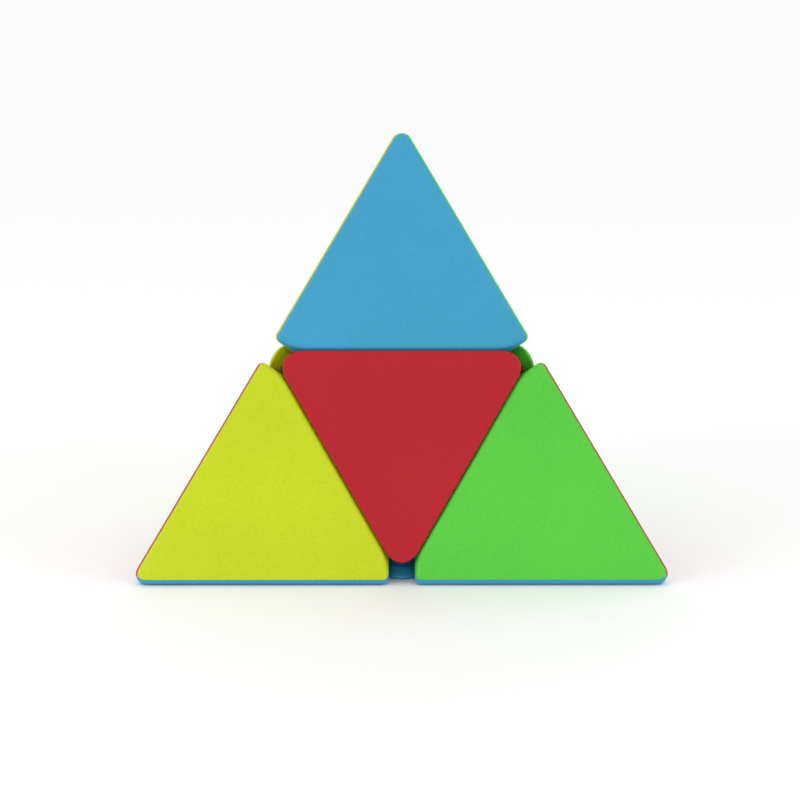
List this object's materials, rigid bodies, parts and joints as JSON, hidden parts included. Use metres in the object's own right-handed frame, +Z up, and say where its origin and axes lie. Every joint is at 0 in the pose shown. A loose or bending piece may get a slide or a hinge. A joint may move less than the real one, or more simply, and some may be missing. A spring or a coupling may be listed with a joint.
{
  "type": "pyramid twisty puzzle",
  "caption": "Tetrahedral twisty puzzle with coloured faces. Half of it turns about each of three crossing axes through the middles of opposite edges.",
  "frame": {"origin": "on the base plane, straight under the apex and the middle of the puzzle", "axes": "+Z up to the apex, -Y is the side of the red-centred front face, +X to the right seen from the front"},
  "size_m": [0.0944, 0.0821, 0.077],
  "materials": {
    "blue_plastic": "satin moulded plastic with a fine grain",
    "red_plastic": "satin moulded plastic with a fine grain",
    "yellow_plastic": "satin moulded plastic with a fine grain",
    "green_plastic": "satin moulded plastic with a fine grain",
    "dark_plastic": "smooth dark moulded plastic",
    "zinc_steel": "zinc plated steel",
    "brass_washer": "plain brass"
  },
  "bodies": {
    "frame": {"core": "dark_plastic", "arm_screws": "zinc_steel", "screw_washers": "brass_washer", "tension_springs": "zinc_steel", "inner_cap_lower_right": "dark_plastic", "inner_cap_lower_left": "dark_plastic", "inner_cap_lower_front": "dark_plastic", "inner_edge_lower_left": "dark_plastic", "inner_edge_lower_right": "dark_plastic", "inner_edge_lower_back": "dark_plastic", "base_centre_cover": "blue_plastic", "base_centre_carrier": "blue_plastic"},
    "left_corner": {"left_corner_front_cap": "yellow_plastic", "left_corner_side_cap": "red_plastic", "left_corner_base_cap": "blue_plastic", "left_corner_carrier": "dark_plastic", "inner_cap_upper_left": "dark_plastic", "inner_edge_middle_left": "dark_plastic", "inner_edge_middle_front_left": "dark_plastic"},
    "right_corner": {"right_corner_front_cap": "green_plastic", "right_corner_side_cap": "red_plastic", "right_corner_base_cap": "blue_plastic", "right_corner_carrier": "dark_plastic", "inner_cap_upper_right": "dark_plastic", "inner_edge_middle_right": "dark_plastic", "inner_edge_middle_front_right": "dark_plastic"},
    "back_corner": {"back_corner_left_cap": "yellow_plastic", "back_corner_right_cap": "green_plastic", "back_corner_base_cap": "red_plastic", "back_corner_carrier": "dark_plastic", "inner_cap_upper_back": "dark_plastic", "inner_edge_middle_back_right": "dark_plastic", "inner_edge_middle_back_left": "dark_plastic"},
    "front_centre": {"front_centre_cover": "red_plastic", "front_centre_carrier": "red_plastic", "inner_edge_upper_front": "dark_plastic"},
    "left_centre": {"left_centre_cover": "yellow_plastic", "left_centre_carrier": "yellow_plastic", "inner_edge_upper_left": "dark_plastic"},
    "right_centre": {"right_centre_cover": "green_plastic", "right_centre_carrier": "green_plastic", "inner_edge_upper_right": "dark_plastic"},
    "top_corner": {"top_corner_front_cap": "blue_plastic", "top_corner_left_cap": "yellow_plastic", "top_corner_right_cap": "green_plastic", "top_corner_carrier": "dark_plastic"}
  },
  "joints": [
    {"name": "left_layer_turn", "type": "hinge", "parent": "frame", "child": "left_corner", "pos_m": [0, 0, 0.02], "axis": [-0.7071, -0.4082, 0.5774], "continuous": true},
    {"name": "right_layer_turn", "type": "hinge", "parent": "frame", "child": "right_corner", "pos_m": [0, 0, 0.02], "axis": [0.7071, -0.4082, 0.5774], "range_deg": [-360, 360]},
    {"name": "back_layer_turn", "type": "hinge", "parent": "frame", "child": "back_corner", "pos_m": [0, 0, 0.02], "axis": [0, 0.8165, 0.5774], "range_deg": [-360, 360]},
    {"name": "front_centre_with_right_layer", "type": "hinge", "parent": "left_corner", "child": "front_centre", "pos_m": [0, 0, 0.02], "axis": [0.7071, -0.4082, 0.5774], "range_deg": [-360, 360]},
    {"name": "left_centre_with_back_layer", "type": "hinge", "parent": "left_corner", "child": "left_centre", "pos_m": [0, 0, 0.02], "axis": [0, 0.8165, 0.5774], "range_deg": [-360, 360]},
    {"name": "right_centre_with_back_layer", "type": "hinge", "parent": "right_corner", "child": "right_centre", "pos_m": [0, 0, 0.02], "axis": [0, 0.8165, 0.5774], "range_deg": [-360, 360]},
    {"name": "top_corner_with_back_layer", "type": "hinge", "parent": "front_centre", "child": "top_corner", "pos_m": [0, 0, 0.02], "axis": [0, 0.8165, 0.5774], "range_deg": [-360, 360]}
  ],
  "couplings": [
    {"joint": "front_centre_with_right_layer", "follows": "right_layer_turn", "ratio": 1},
    {"joint": "left_centre_with_back_layer", "follows": "back_layer_turn", "ratio": 1},
    {"joint": "right_centre_with_back_layer", "follows": "back_layer_turn", "ratio": 1},
    {"joint": "top_corner_with_back_layer", "follows": "back_layer_turn", "ratio": 1}
  ]
}
